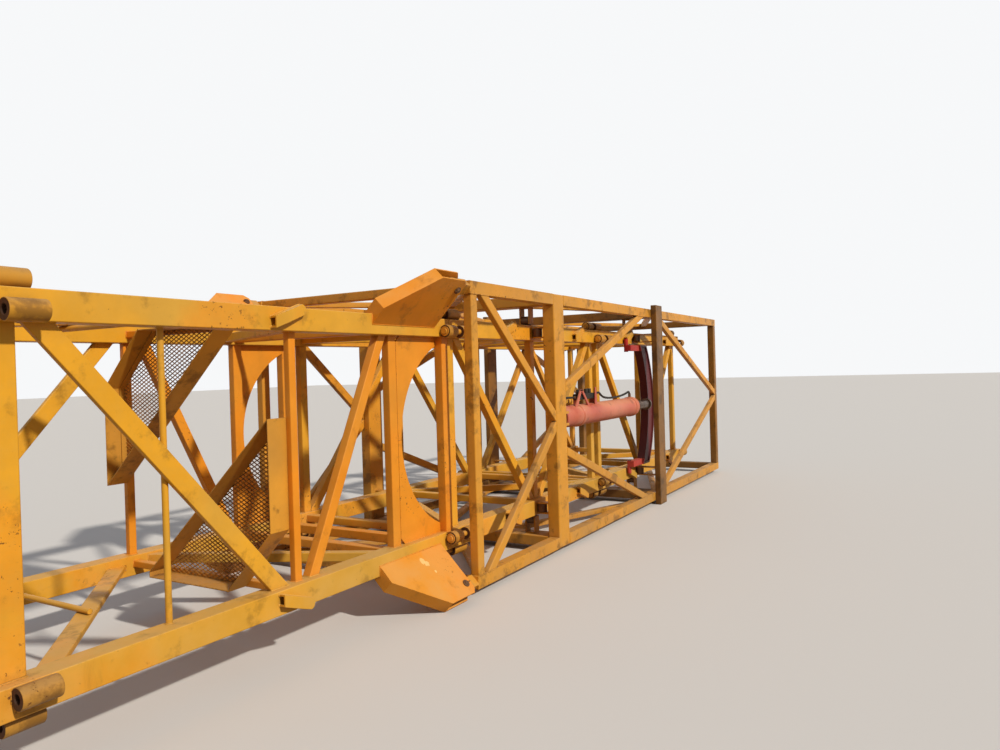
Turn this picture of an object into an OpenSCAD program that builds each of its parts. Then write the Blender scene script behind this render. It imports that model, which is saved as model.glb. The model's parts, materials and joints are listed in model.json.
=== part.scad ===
// Tower crane mast head section with flared corner ears, bolted to two mast sections
// that stand inside a climbing cage with its jacking cylinder and crossbeam.
// The crane is laid down: X runs along the tower axis from the head end, -Y is the
// jacking side, Z is up. The origin is on the ground below the middle of the part.

/* [Mast] */
// Width of the mast over its chords
mast_w = 1800; // [1600:10:2000]
// Side of a mast chord box tube
chord_w = 142; // [110:1:160]
// Wall of a mast chord box tube
chord_t = 12; // [8:1:16]
// Length of the flared head section
head_len = 3360; // [3200:10:3600]
// Length of one mast section
section_len = 3000; // [2800:10:3200]
// Width of a mast end post along the tower axis
end_post_w = 82; // [60:1:95]
// Width of the left end post of the head section
head_end_w = 128; // [90:1:150]
// Distance of the left end post from the end of the head section
head_end_set = 44; // [30:1:50]
// Setback of mast posts and braces behind the chord's outer face
face_in = 60; // [54:1:68]
// Depth of mast posts, rails and short braces
brace_d = 64; // [50:1:72]
// Width of a short mast brace in its own plane
brace_w = 76; // [60:1:90]
// Depth of the head section's long braces
long_brace_d = 36; // [30:1:42]
// Width of the head section's long braces
long_brace_w = 105; // [90:1:115]

/* [Head section] */
// Position of the middle frame along the head section
mid_frame_x = 1722; // [1650:2:1780]
// Width of the middle frame's posts
mid_frame_w = 56; // [46:1:66]
// Depth of the middle frame's posts
mid_frame_d = 46; // [40:1:56]
// Distance of the flare frame from the end of the head section
flare_len = 688; // [640:4:740]
// Width of the flare frame's posts
flare_frame_w = 85; // [70:1:100]
// Thickness of the arched gusset plates
gusset_t = 14; // [8:1:20]
// Width of the gusset at the middle of its arch
gusset_min_w = 40; // [20:1:60]
// Height of the gusset left at the end post
gusset_end_h = 70; // [50:1:90]
// Side of the cut corner of a gusset
gusset_cope = 44; // [30:1:60]
// Diameter of the thin stay tube beside the long brace
stay_d = 34; // [28:1:40]
// Position of the stay tube along the head section
stay_x = 890; // [840:2:940]

/* [Corner ears] */
// Thickness of an ear box over both plates
ear_box_w = 104; // [90:2:120]
// Thickness of an ear plate
ear_plate_t = 12; // [8:1:16]
// Start of an ear on the chord, from the end of the head section
ear_back = 925; // [880:5:980]
// Height of an ear's steep first edge over the chord's corner
ear_start_h = 92; // [70:1:110]
// Start of the ear's full reach, from the end of the head section
ear_full = 530; // [480:5:600]
// Gap between the ear's open end and the end of the head section
ear_end_gap = 200; // [180:5:220]
// Cut of the ear's outer corner
ear_tip = 40; // [25:1:55]
// Diameter of the ear's pin
ear_pin_d = 46; // [36:1:56]

/* [Bolt sleeves] */
// Outer diameter of a bolt sleeve
sleeve_d = 100; // [88:1:110]
// Diameter of the hole through a bolt sleeve
sleeve_bore_d = 46; // [40:1:52]
// Length of the sleeves at a section's left end
sleeve_len = 170; // [140:1:180]
// Distance of those sleeves from the end of their chord
sleeve_set = 75; // [60:1:85]
// Length of the sleeves at a section's right end
end_sleeve_len = 120; // [104:1:130]
// Distance of those sleeves from the end of their chord
end_sleeve_set = 3; // [2:1:8]
// Distance of a sleeve's axis from the outer corner of its chord
sleeve_in = 100; // [84:1:104]

/* [Climbing lugs] */
// Length of a climbing lug along its chord
lug_len = 262; // [230:2:290]
// Reach of a climbing lug out of the chord
lug_out = 50; // [40:1:52]
// Width of a climbing lug's shoe
lug_h = 68; // [58:1:76]
// Thickness of a climbing lug's plate
lug_t = 12; // [8:1:16]
// How far a climbing lug leans towards the mast's corner
lug_rise = 80; // [60:1:90]
// Bearing face of the first lug of a mast section, from the section's start
lug_first = 795; // [765:5:825]
// Bearing face of the head section's lug
head_lug_x = 1530; // [1480:5:1580]

/* [Climbing cage] */
// Width of the cage over its chords
cage_w = 2350; // [2300:10:2400]
// Side of a cage chord tube
cage_chord_w = 100; // [85:1:110]
// Wall of a cage chord tube
cage_chord_t = 8; // [5:1:12]
// Length of the head section that the cage reaches over
cage_lap = 98; // [85:1:106]
// Width of the cage's head frame posts
cage_head_w = 90; // [76:1:100]
// Depth of the cage's head frame posts
cage_head_d = 74; // [64:1:90]
// Thickness of the plate that closes a cage chord
cage_plate_t = 10; // [8:1:14]
// Distance of the deep frame that carries the cylinder from the cage's start
deep_frame_in = 1413; // [1360:1:1460]
// Width of the deep frame's posts
deep_frame_w = 215; // [200:5:235]
// Depth of the deep frame's posts
deep_frame_d = 120; // [110:1:130]
// Distance of the splice frame from the bearing face of the lug before it
splice_past_lug = 209; // [195:2:235]
// Width of a splice post, which stands on the outside of the chords
splice_w = 228; // [210:2:240]
// Length of the cage behind the splice frame
cage_tail_len = 2828; // [2600:4:3000]
// Width of the cage's tail frame posts
cage_tail_w = 110; // [90:1:130]
// Depth of the cage's tail posts
cage_d = 95; // [75:1:98]
// Depth of the cage's braces
cage_brace_d = 52; // [44:1:66]
// Depth of the splice posts
splice_d = 70; // [60:1:80]
// Width of a cage brace in its own plane
cage_brace_w = 80; // [66:1:92]
// Height of the long braces' feet above the cylinder's axis
long_brace_foot = 300; // [280:5:330]
// Distance of the long braces' other end from the splice frame
long_brace_end = 344; // [300:4:400]
// Distance of the tail braces' start from the splice frame
tail_brace_start = 214; // [190:2:240]

/* [Jacking cylinder] */
// Outer diameter of the barrel
barrel_d = 190; // [180:1:190]
// Diameter of the piston rod
rod_d = 110; // [90:1:120]
// Length of the barrel without its eye
barrel_len = 2000; // [1900:10:2030]
// Distance of the cylinder's axis outside the mast face
cylinder_out = 102; // [101:1:106]
// Distance of the eye's pin from the deep frame
eye_set = 125; // [110:1:140]
// Diameter of the eye's pin
eye_pin_d = 60; // [50:1:70]
// Diameter of the cylinder's eye
eye_d = 112; // [100:1:120]
// Width of the cylinder's eye
eye_t = 84; // [70:1:90]
// Reach of the eye's pin out of the barrel's end
eye_reach = 66; // [62:1:80]
// Diameter of the rod's end flange
flange_d = 146; // [130:1:160]
// Distance of the valve block from the barrel's end
valve_in = 400; // [370:5:430]
// Length of the valve block
valve_len = 420; // [380:2:450]
// Outer diameter of a hose
hose_d = 24; // [18:1:30]

/* [Crossbeam] */
// Thickness of the crossbeam
beam_t = 96; // [80:1:98]
// Gap between the crossbeam and the mast face
beam_gap = 26; // [20:1:30]
// Depth of the crossbeam along the tower axis
beam_w = 230; // [210:5:250]
// Rise of the crossbeam's arch
beam_rise = 230; // [200:5:250]
// Width of the arms that reach from the crossbeam's ends to its pins
beam_arm_w = 70; // [56:2:80]
// Diameter of the pins at the crossbeam's ends
beam_pin_d = 50; // [40:1:50]
// Length of the pins at the crossbeam's ends
beam_pin_len = 160; // [150:2:170]
// Distance of the pins from the rod's end along the cylinder
beam_pin_in = 490; // [470:5:510]

/* [Rest platform] */
// Thickness of the rest platform's edge bars
rest_bar_t = 8; // [6:1:12]
// Thickness of the mesh panels
mesh_t = 6; // [4:1:10]
// Height of the edge bars behind the toe boards, along the tower axis
rest_bar_h = 40; // [30:1:60]
// Height of the platform's boards along the tower axis
toe_h = 149; // [120:1:170]
// Thickness of the toe board
toe_t = 6; // [4:1:10]

/* [Fits] */
// Clearance at pins and rods, on the radius
pin_clear = 0.5; // [0.3:0.1:1]
// Clearance of the cylinder's eye between the bracket's cheeks
eye_clear = 3; // [2:0.5:5]
// Weld gap between two braces that meet on a post
weld_gap = 2; // [1:0.5:4]

/* [Hidden] */

yellow = "#d9981f";
fresh = "#e8891a";
cage_yellow = "#d19a2c";
red = "#a33b3b";
maroon = "#5e1f22";
steel = "#6b5f4c";
black = "#222222";

mast_h = mast_w / 2;
mast_in = mast_h - chord_w;
cage_h = cage_w / 2;
cage_in = cage_h - cage_chord_w;
mast_1_x = head_len;
mast_2_x = head_len + section_len;
mast_end = head_len + 2 * section_len;
flare_frame_x = head_len - flare_len;
lug_pitch = section_len / 2;
cage_x = head_len - cage_lap;
deep_frame_x = cage_x + deep_frame_in;
splice_x = mast_2_x + lug_first + splice_past_lug;
splice_x1 = splice_x + splice_w;
cage_end = splice_x1 + cage_tail_len;

// Ear outline, measured along the tower axis and out along the diagonal
diag = sqrt(2);
ear_x0 = head_len - ear_back;
ear_x1 = head_len - ear_full;
ear_x2 = head_len - ear_end_gap;
ear_r0 = mast_h * diag + ear_start_h;
ear_r1 = (cage_h + 13) * diag;
ear_pin_x = ear_x2 - 60;
ear_pin_r = (cage_h - 51) * diag;

// The splice posts stand out as far as the ears, so both carry the part on the ground
ear_low = (ear_r1 + ear_box_w / 2) / diag;
axis_h = ear_low;
total_len = cage_end;

// Cylinder and crossbeam
cyl_y = -mast_h - cylinder_out;
eye_x = deep_frame_x + deep_frame_w + eye_set;
barrel_x0 = eye_x + eye_reach;
barrel_x1 = barrel_x0 + barrel_len;
lug_3_x = mast_2_x + lug_first;
beam_pin_x = lug_3_x - beam_pin_d / 2 - pin_clear;
beam_pin_y = -mast_h - 10 - beam_pin_d / 2;
beam_in_x = beam_pin_x + beam_pin_in;
rod_out = beam_in_x - barrel_x1;
valve_foot_t = 14;
valve_xs = [barrel_x0 + valve_in, barrel_x0 + valve_in + valve_len - valve_foot_t];
valve_z = barrel_d / 2 + 60;
valve_h = 60;
run_z = valve_z + valve_h / 2;
roller_d = 90;
roller_len = 80;
roller_pin_d = 30;
roller_y = -mast_h - roller_d / 2 - 0.3;
guide_xs = [deep_frame_x + deep_frame_w / 2, splice_x + splice_w / 2];
post_set = 58;
long_in = face_in - 8;
beam_half = mast_h - sleeve_in - sleeve_d / 2 - 10;
beam_y0 = -mast_h - beam_gap - beam_t;

// Corners of a rest platform, in Y and Z
panel_pts = [[-795, 240], [-795, -436], [-400, -831], [362, -831], [362, -790]];

// Cage bays between its frames
deep_frame_x1 = deep_frame_x + deep_frame_w;
cage_tail_x = cage_end - cage_tail_w;

module place() {
    translate([-total_len / 2, 0, axis_h]) children();
}

// Turns a shape drawn on the near face (-Y) to face k: bottom 1, far 2, top 3
module on_face(k) {
    rotate([90 * k, 0, 0]) children();
}

// Box tube along X
module tube_x(x0, len, y0, z0, w, t) {
    difference() {
        translate([x0, y0, z0]) cube([len, w, w]);
        translate([x0 - 1, y0 + t, z0 + t]) cube([len + 2, w - 2 * t, w - 2 * t]);
    }
}

// Four box tubes at the corners of a square of half width h
module corner_tubes(x0, len, h, w, t) {
    for (k = [0:3]) on_face(k) tube_x(x0, len, -h, -h, w, t);
}

// Square bars between the chords, on all four faces, set back from the outer face
module ring_frame(x0, wx, h, inner, d, set = 0) {
    for (k = [0:3]) on_face(k) translate([x0, set - h, -inner]) cube([wx, d, 2 * inner]);
}

module bar_2d(a, b, w) {
    ang = atan2(b[1] - a[1], b[0] - a[0]);
    translate(a) rotate(ang) translate([-2 * w, -w / 2]) square([norm(b - a) + 4 * w, w]);
}

// Brace on the near face from a to b, cut off square to the bay [x0, x1] by [z0, z1]
module brace(a, b, w, d, h, x0, x1, z0, z1) {
    intersection() {
        translate([0, d - h, 0]) rotate([90, 0, 0]) linear_extrude(d) bar_2d(a, b, w);
        translate([x0, -h - 1, z0]) cube([x1 - x0, d + 2, z1 - z0]);
    }
}

// Long and short brace of the head section
module head_bay_braces() {
    end_b = head_end_set + head_end_w;
    mid_b = mid_frame_x + mid_frame_w;
    brace([end_b + 93, mast_in], [mid_frame_x - 128, -mast_in], long_brace_w, long_brace_d,
        mast_h - long_in, end_b, mid_frame_x, -mast_in, mast_in);
    brace([mid_b + 102, -mast_in], [flare_frame_x - 66, mast_in], brace_w, brace_d,
        mast_h - face_in, mid_b, flare_frame_x, -mast_in, mast_in);
}

// The two braces of a plain mast section
module section_bay_braces(x0) {
    w = brace_w;
    h = mast_h - face_in;
    a = x0 + post_set + end_post_w;
    b = x0 + (section_len - end_post_w) / 2;
    c = b + end_post_w;
    d = x0 + section_len - end_post_w - post_set;
    brace([a + 40, mast_in], [b - 40, -mast_in], w, brace_d, h, a, b, -mast_in, mast_in);
    brace([c + 40, -mast_in], [d - 40, mast_in], w, brace_d, h, c, d, -mast_in, mast_in);
}

// Sleeve on the near face beside the bottom chord, its back cut flat on the chord
module sleeve(x0, len, z) {
    seat = sleeve_d * 0.45;
    difference() {
        translate([x0, -mast_h - seat, z]) rotate([0, 90, 0])
            difference() {
                cylinder(d = sleeve_d, h = len, $fn = 48);
                translate([0, 0, -1]) cylinder(d = sleeve_bore_d, h = len + 2, $fn = 48);
            }
        translate([x0 - 2, -mast_h, z - sleeve_d]) cube([len + 4, sleeve_d, 2 * sleeve_d]);
    }
}

// Eight sleeves around each end of a section that starts at x0: two on each chord
module section_sleeves(x0, len) {
    for (k = [0:3], s = [-1, 1]) on_face(k) {
        sleeve(x0 + sleeve_set, sleeve_len, s * (mast_h - sleeve_in));
        sleeve(x0 + len - end_sleeve_set - end_sleeve_len, end_sleeve_len, s * (mast_h - sleeve_in));
    }
}

// Outline of a lug's shoe: square end at x = 0, leaning up to a round tip
module shoe_2d(w) {
    tip = lug_len - lug_h / 2;
    intersection() {
        rotate(atan2(lug_rise, tip)) {
            translate([-w, -w / 2]) square([w + norm([tip, lug_rise]), w]);
            translate([norm([tip, lug_rise]), 0]) circle(d = w, $fn = 32);
        }
        translate([0, -lug_len]) square(2 * lug_len);
    }
}

// Climbing lug on the near top chord: a plate shoe, open at its bearing face
module lug(x0) {
    tip_out = lug_out * 0.55;
    translate([x0, -mast_h, mast_in + chord_w / 2 - lug_rise * 0.3]) difference() {
        intersection() {
            rotate([90, 0, 0]) linear_extrude(lug_out) shoe_2d(lug_h);
            translate([0, 0, -lug_len]) linear_extrude(2 * lug_len)
                polygon([[0, 0], [0, -lug_out], [lug_len * 0.4, -lug_out], [lug_len + 1, -tip_out],
                    [lug_len + 1, 0]]);
        }
        intersection() {
            rotate([90, 0, 0]) translate([0, 0, -1]) linear_extrude(lug_out - lug_t + 1)
                shoe_2d(lug_h - 2 * lug_t);
            translate([-1, -lug_out, -lug_len]) cube([lug_len * 0.4 + 1, 2 * lug_out, 2 * lug_len]);
        }
    }
}

module lug_pair(x0) {
    for (k = [0, 2]) on_face(k) {
        lug(x0);
        mirror([0, 0, 1]) lug(x0);
    }
}

// Bolt through two sleeves that meet at x, on the near face: round head, hexagonal nut
module joint_bolt(x, z) {
    before = end_sleeve_set + end_sleeve_len;
    span = before + sleeve_set + sleeve_len;
    nut = 28;
    translate([x - before, -mast_h - sleeve_d * 0.45, z]) rotate([0, 90, 0]) {
        translate([0, 0, -7]) cylinder(d = 76, h = 7, $fn = 48);
        translate([0, 0, -20]) cylinder(d = 48, h = 20, $fn = 48);
        cylinder(d = sleeve_bore_d - 2 * pin_clear, h = span, $fn = 48);
        translate([0, 0, span]) cylinder(d = 74, h = nut, $fn = 6);
    }
}

module bolt_ring(x) {
    for (k = [0:3], s = [-1, 1]) on_face(k) joint_bolt(x, s * (mast_h - sleeve_in));
}

// Outline of an ear, along X and out along the diagonal
module ear_2d() {
    polygon([[ear_x0, mast_h * diag - ear_box_w], [ear_x0, ear_r0], [ear_x1, ear_r1],
        [ear_x2 - ear_tip, ear_r1], [ear_x2, ear_r1 - ear_tip],
        [ear_x2, mast_h * diag - ear_box_w]]);
}

// Ear box in the plane y = 0, its reach along -Z; turned to a corner by the caller.
// Two plates with a cover on the slope between them, open beyond it
module ear_box() {
    difference() {
        rotate([90, 0, 0]) translate([0, 0, -ear_box_w / 2])
            linear_extrude(ear_box_w) mirror([0, 1]) ear_2d();
        rotate([90, 0, 0]) translate([0, 0, ear_plate_t - ear_box_w / 2])
            linear_extrude(ear_box_w - 2 * ear_plate_t) mirror([0, 1])
                polygon([[ear_x0 + ear_plate_t, 0], [ear_x0 + ear_plate_t, ear_r0 - ear_plate_t * 0.4],
                    [ear_x1 + ear_plate_t * 0.3, ear_r1 - ear_plate_t],
                    [ear_x1 + ear_plate_t * 0.3, ear_r1 + 1], [ear_x2 + 1, ear_r1 + 1],
                    [ear_x2 + 1, 0]]);
        translate([ear_pin_x, 0, -ear_pin_r]) rotate([90, 0, 0])
            cylinder(d = ear_pin_d, h = ear_box_w + 2, center = true, $fn = 48);
        rotate([45, 0, 0]) translate([0, -mast_h, -mast_h])
            cube([head_len, mast_h * 2, mast_h * 2]);
    }
}

module at_each_corner() {
    for (k = [0:3]) rotate([90 * k - 45, 0, 0]) children();
}

// Plate with an arched edge between the flare frame and the end frame, upper half
module gusset_half() {
    x0 = flare_frame_x + flare_frame_w;
    x1 = head_len - end_post_w - 28;
    half = mast_in - gusset_end_h;
    run = x1 - x0 - gusset_min_w;
    // Circle through the arch's middle and through the end post
    r = (run * run + half * half) / (2 * run);
    translate([0, face_in + gusset_t - mast_h, 0]) rotate([90, 0, 0]) linear_extrude(gusset_t)
        difference() {
            translate([x0, weld_gap / 2]) square([x1 - x0, mast_in - weld_gap / 2]);
            translate([x0 + gusset_min_w + r, 0]) circle(r = r, $fn = 144);
            translate([x0, mast_in]) rotate(45) square(gusset_cope * diag, center = true);
        }
}

// Floor of the rest platform across the near bottom corner, height h up to the middle frame
module panel(h) {
    translate([mid_frame_x - h, 0, 0]) rotate([90, 0, 90]) linear_extrude(h) polygon(panel_pts);
}

// Bars inside the floor's edges from number a to b, height h
module edge_bars(a, b, h) {
    n = len(panel_pts);
    intersection() {
        panel(h);
        for (i = [a:b])
            translate([mid_frame_x - h, 0, 0]) rotate([90, 0, 90]) linear_extrude(h)
                bar_2d(panel_pts[i], panel_pts[(i + 1) % n], 2 * rest_bar_t);
    }
}

// The platform covers two opposite corners and leaves the way between them open
module at_both_panels() {
    for (a = [0, 180]) rotate([a, 0, 0]) children();
}

module head_chords() {
    color(yellow) place() corner_tubes(0, head_len, mast_h, chord_w, chord_t);
}

module head_end_frame() {
    color(yellow) place() ring_frame(head_end_set, head_end_w, mast_h, mast_in, brace_d, face_in);
}

module head_mid_frame() {
    color(fresh) place() ring_frame(mid_frame_x, mid_frame_w, mast_h, mast_in, mid_frame_d, face_in);
}

module head_flare_frame() {
    color(fresh) place() {
        ring_frame(flare_frame_x, flare_frame_w, mast_h, mast_in, brace_d, face_in);
        ring_frame(head_len - end_post_w - 28, end_post_w, mast_h, mast_in, face_in + gusset_t);
    }
}

module head_side_braces() {
    color(yellow) place() for (k = [0, 2]) on_face(k) head_bay_braces();
}

module head_plan_braces() {
    color(yellow) place() for (k = [1, 3]) on_face(k) head_bay_braces();
}

module head_stay_tubes() {
    // Those above and below end at the long brace that they cross
    color(yellow) place() for (k = [0:3]) on_face(k)
        translate([stay_x, -mast_h + long_in + long_brace_d + stay_d / 2 + 1, -mast_in])
            cylinder(d = stay_d, h = k % 2 == 0 ? 2 * mast_in : mast_in + 100, $fn = 24);
}

module arched_gussets() {
    color(fresh) place() for (k = [0, 2]) on_face(k) {
        gusset_half();
        mirror([0, 0, 1]) gusset_half();
    }
}

module corner_ears() {
    color(fresh) place() at_each_corner() ear_box();
}

module head_bolt_sleeves() {
    color(yellow) place() section_sleeves(0, head_len);
}

module head_climbing_lugs() {
    color(yellow) place() lug_pair(head_lug_x);
}

module rest_platform_frame() {
    color(cage_yellow) place() at_both_panels() {
        edge_bars(0, 1, rest_bar_h);
        edge_bars(2, 4, toe_h);
    }
}

module rest_platform_mesh() {
    color(steel) place() at_both_panels() translate([-mesh_t, 0, 0]) difference() {
        panel(mesh_t);
        translate([1, 0, 0]) edge_bars(0, 4, mesh_t + 2);
    }
}

// Bent plate along the floor's near edge and its cut corner
module toe_boards() {
    p = panel_pts;
    k = toe_t / diag;
    color(cage_yellow) place() at_both_panels()
        translate([mid_frame_x - toe_h, 0, 0]) rotate([90, 0, 90]) linear_extrude(toe_h)
            polygon([p[0], p[1], p[2], p[2] - [k, k], p[1] - [toe_t, k * 0.8], p[0] - [toe_t, 0]]);
}

module mast_chords(x0) {
    color(yellow) place() corner_tubes(x0, section_len, mast_h, chord_w, chord_t);
}

module mast_posts(x0) {
    color(yellow) place() {
        for (x = [post_set, (section_len - end_post_w) / 2, section_len - end_post_w - post_set])
            ring_frame(x0 + x, end_post_w, mast_h, mast_in, brace_d, face_in);
    }
}

module mast_braces(x0) {
    color(yellow) place() for (k = [0:3]) on_face(k) section_bay_braces(x0);
}

module mast_sleeves(x0) {
    color(yellow) place() section_sleeves(x0, section_len);
}

module mast_lugs(x0) {
    color(yellow) place() for (i = [0, 1]) lug_pair(x0 + lug_first + i * lug_pitch);
}

module mast_1_chords() mast_chords(mast_1_x);
module mast_1_posts() mast_posts(mast_1_x);
module mast_1_braces() mast_braces(mast_1_x);
module mast_1_bolt_sleeves() mast_sleeves(mast_1_x);
module mast_1_climbing_lugs() mast_lugs(mast_1_x);
module mast_2_chords() mast_chords(mast_2_x);
module mast_2_posts() mast_posts(mast_2_x);
module mast_2_braces() mast_braces(mast_2_x);
module mast_2_bolt_sleeves() mast_sleeves(mast_2_x);
module mast_2_climbing_lugs() mast_lugs(mast_2_x);

module joint_bolts() {
    color(steel) place() for (x = [mast_1_x, mast_2_x]) bolt_ring(x);
}

module cage_chords() {
    color(cage_yellow) place() {
        corner_tubes(cage_x, deep_frame_x - cage_x, cage_h, cage_chord_w, cage_chord_t);
        corner_tubes(deep_frame_x1, cage_end - deep_frame_x1, cage_h, cage_chord_w, cage_chord_t);
    }
}

module cage_head_frame() {
    color(cage_yellow) place() ring_frame(cage_x, cage_head_w, cage_h, cage_in, cage_head_d);
}

module cage_tail_frame() {
    color(cage_yellow) place() ring_frame(cage_tail_x, cage_tail_w, cage_h, cage_in, cage_d);
}

// Post on each side from depth y0 inwards, reach zh above and below the axis
module side_posts(x0, w, y0, d, zh) {
    for (k = [0, 2]) on_face(k) translate([x0, y0, -zh]) cube([w, d, 2 * zh]);
}

// Rails above and below, between posts of depth post_d
module cross_rails(x0, w, d, post_d) {
    yh = cage_h - post_d;
    for (k = [1, 3]) on_face(k) translate([x0, -cage_h, -yh]) cube([w, d, 2 * yh]);
}

module cage_deep_posts() {
    color(cage_yellow) place() side_posts(deep_frame_x, deep_frame_w, -cage_h, deep_frame_d, cage_h);
}

module cage_deep_rails() {
    color(cage_yellow) place() cross_rails(deep_frame_x, deep_frame_w, cage_chord_w, deep_frame_d);
}

module cage_splice_posts() {
    color(cage_yellow) place()
        side_posts(splice_x, splice_w, -cage_h - splice_d, splice_d, ear_low);
}

module cage_splice_rails() {
    color(cage_yellow) place() cross_rails(splice_x, splice_w, cage_chord_w, cage_chord_w);
}

// Braces of one side of the cage, upper half; the lower half is its mirror image
module half_bay_braces() {
    z0 = weld_gap / 2;
    x_head = cage_x + cage_head_w;
    apex = cage_brace_w / 2;
    brace([x_head + 110, cage_in], [deep_frame_x, apex], cage_brace_w, cage_brace_d, cage_h,
        x_head, deep_frame_x, z0, cage_in);
    brace([deep_frame_x1, long_brace_foot], [splice_x - long_brace_end, cage_in], cage_brace_w,
        cage_brace_d, cage_h, deep_frame_x1, splice_x, z0, cage_in);
    brace([splice_x1 + tail_brace_start, cage_in - 50], [cage_tail_x, apex], cage_brace_w,
        cage_brace_d, cage_h, splice_x1, cage_tail_x, z0, cage_in);
}

module face_braces(k) {
    on_face(k) {
        half_bay_braces();
        mirror([0, 0, 1]) half_bay_braces();
    }
}

module cage_side_braces() {
    color(cage_yellow) place() for (k = [0, 2]) face_braces(k);
}

module cage_plan_braces() {
    color(cage_yellow) place() for (k = [1, 3]) face_braces(k);
}

// Closing plate on the chord's end, with a tongue that goes between the ear's plates
module cage_corner_lugs() {
    tongue_t = ear_box_w - 2 * ear_plate_t - 6;
    color(cage_yellow) place() {
        for (k = [0:3]) on_face(k) translate([cage_x - cage_plate_t, -cage_h, -cage_h])
            cube([cage_plate_t, cage_chord_w, cage_chord_w]);
    }
    color(cage_yellow) place() at_each_corner() difference() {
        translate([ear_pin_x - 50, -tongue_t / 2, -ear_pin_r - 48])
            cube([cage_x - cage_plate_t - ear_pin_x + 50, tongue_t, 96]);
        translate([ear_pin_x, 0, -ear_pin_r]) rotate([90, 0, 0])
            cylinder(d = ear_pin_d, h = tongue_t + 2, center = true, $fn = 48);
    }
}

module ear_pins() {
    color(steel) place() at_each_corner() translate([ear_pin_x, 0, -ear_pin_r]) rotate([90, 0, 0])
        cylinder(d = ear_pin_d - 2 * pin_clear, h = ear_box_w - ear_plate_t, center = true, $fn = 48);
}

// Guide roller on the near face at x; z is the middle of a chord
module roller(x, z) {
    difference() {
        translate([x, roller_y, z]) cylinder(d = roller_d, h = roller_len, center = true, $fn = 48);
        translate([x, roller_y, z])
            cylinder(d = roller_pin_d + 2 * pin_clear, h = roller_len + 2, center = true, $fn = 32);
    }
}

// Two cheeks with the roller's axle, from a base at depth y0
module roller_bracket(x, z, y0) {
    t = 12;
    w = 84;
    gap = roller_len / 2 + 1;
    translate([x - w / 2, y0, z - gap - t]) cube([w, t, 2 * (gap + t)]);
    for (s = [-1, 1])
        translate([x - w / 2, y0, z + s * (gap + t / 2) - t / 2]) cube([w, roller_y + 30 - y0, t]);
    translate([x, roller_y, z]) cylinder(d = roller_pin_d, h = 2 * (gap + t), center = true, $fn = 32);
}

module guide_rollers() {
    zc = mast_h - chord_w / 2;
    color(steel) place() for (x = guide_xs, k = [0:3], s = [-1, 1]) on_face(k) roller(x, s * zc);
}

module guide_brackets() {
    zc = mast_h - chord_w / 2;
    color(cage_yellow) place() for (s = [-1, 1]) {
        for (k = [0, 2]) on_face(k) {
            roller_bracket(guide_xs[0], s * zc, -cage_h + deep_frame_d);
            roller_bracket(guide_xs[1], s * zc, -cage_h);
        }
        for (x = guide_xs, k = [1, 3]) on_face(k) roller_bracket(x, s * zc, -cage_in);
    }
}

// Two cheeks on the deep post that hold the cylinder's eye
module cylinder_bracket() {
    t = 25;
    gap = eye_t / 2 + eye_clear;
    y0 = -cage_h + 60;
    y1 = cyl_y + 50;
    color(cage_yellow) place() difference() {
        union() {
            translate([deep_frame_x1, y0, -gap - t]) cube([15, y1 - 40 - y0, 2 * (gap + t)]);
            for (s = [-1, 1]) translate([deep_frame_x1, y0, s * (gap + t / 2) - t / 2])
                cube([eye_set + eye_reach - 10, y1 - y0, t]);
        }
        translate([eye_x, cyl_y, 0])
            cylinder(d = eye_pin_d, h = 2 * (gap + t) + 2, center = true, $fn = 48);
    }
}

module cylinder_pin() {
    len = eye_t + 2 * eye_clear + 50;
    color(steel) place() translate([eye_x, cyl_y, -len / 2 - 15]) {
        cylinder(d = eye_pin_d - 2 * pin_clear, h = len + 30, $fn = 48);
        cylinder(d = eye_pin_d + 24, h = 14, $fn = 48);
    }
}

module along_cylinder(x) {
    translate([x, cyl_y, 0]) rotate([0, 90, 0]) children();
}

module cylinder_barrel() {
    wall = 20;
    gland = 90;
    color(red) place() difference() {
        union() {
            along_cylinder(barrel_x0) cylinder(d = barrel_d, h = barrel_len, $fn = 72);
            translate([eye_x, cyl_y, 0]) cylinder(d = eye_d, h = eye_t, center = true, $fn = 48);
            translate([eye_x, cyl_y - 50, -eye_t / 2]) cube([eye_reach + 10, 100, eye_t]);
            for (x = valve_xs) translate([x, cyl_y - 30, 0]) cube([valve_foot_t, 60, valve_z]);
            translate([barrel_x1 - 60, cyl_y, 0]) cylinder(d = 44, h = barrel_d / 2 + 22, $fn = 32);
            translate([barrel_x0 + 60, cyl_y, 0]) cylinder(d = 44, h = barrel_d / 2 + 22, $fn = 32);
        }
        along_cylinder(barrel_x0 + 50) cylinder(d = barrel_d - 2 * wall, h = barrel_len - 50 - gland,
            $fn = 72);
        along_cylinder(barrel_x1 - gland - 1) cylinder(d = rod_d + 2 * pin_clear, h = gland + 2,
            $fn = 72);
        translate([eye_x, cyl_y, 0])
            cylinder(d = eye_pin_d, h = eye_t + 2, center = true, $fn = 48);
    }
}

module valve_block() {
    color(black) place() translate([valve_xs[0], cyl_y - 35, valve_z])
        cube([valve_len, 70, valve_h]);
}

// Hoses from the valve block to the ports near both ends of the barrel
module hydraulic_hoses() {
    port_z = barrel_d / 2 + 22;
    x0 = valve_xs[0] + valve_len;
    color(black) place() {
        hose_run(x0, barrel_x1 - 60, run_z, port_z, 1);
        hose_run(valve_xs[0], barrel_x0 + 60, run_z, port_z, -1);
    }
}

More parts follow.
